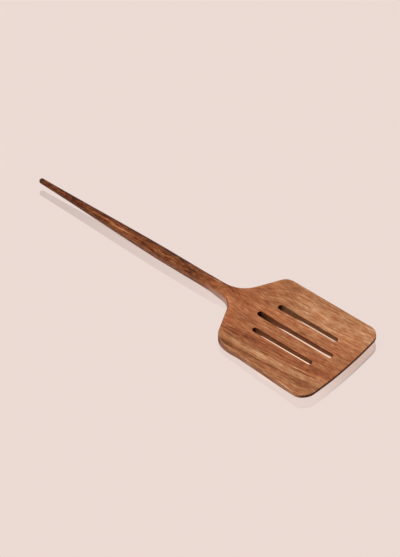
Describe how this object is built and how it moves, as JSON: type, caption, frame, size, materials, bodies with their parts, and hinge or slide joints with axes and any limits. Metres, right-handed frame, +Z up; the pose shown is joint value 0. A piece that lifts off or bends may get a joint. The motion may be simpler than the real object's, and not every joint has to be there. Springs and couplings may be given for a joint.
{
  "type": "slotted wooden spatula",
  "caption": "One-piece slotted wooden spatula for turning and lifting food in a pan, with a thin tapering handle and a broad flat blade.",
  "frame": {"origin": "on the flat underside below the neck's end, under the handle's centre line", "axes": "+X from the handle's tip towards the blade's front edge, +Z up from the resting face, +Y towards the straight side of the blade"},
  "size_m": [0.3302, 0.0977, 0.0121],
  "materials": {
    "oiled_wood": "oiled, satin"
  },
  "bodies": {
    "root": {"spatula": "oiled_wood"}
  },
  "joints": []
}
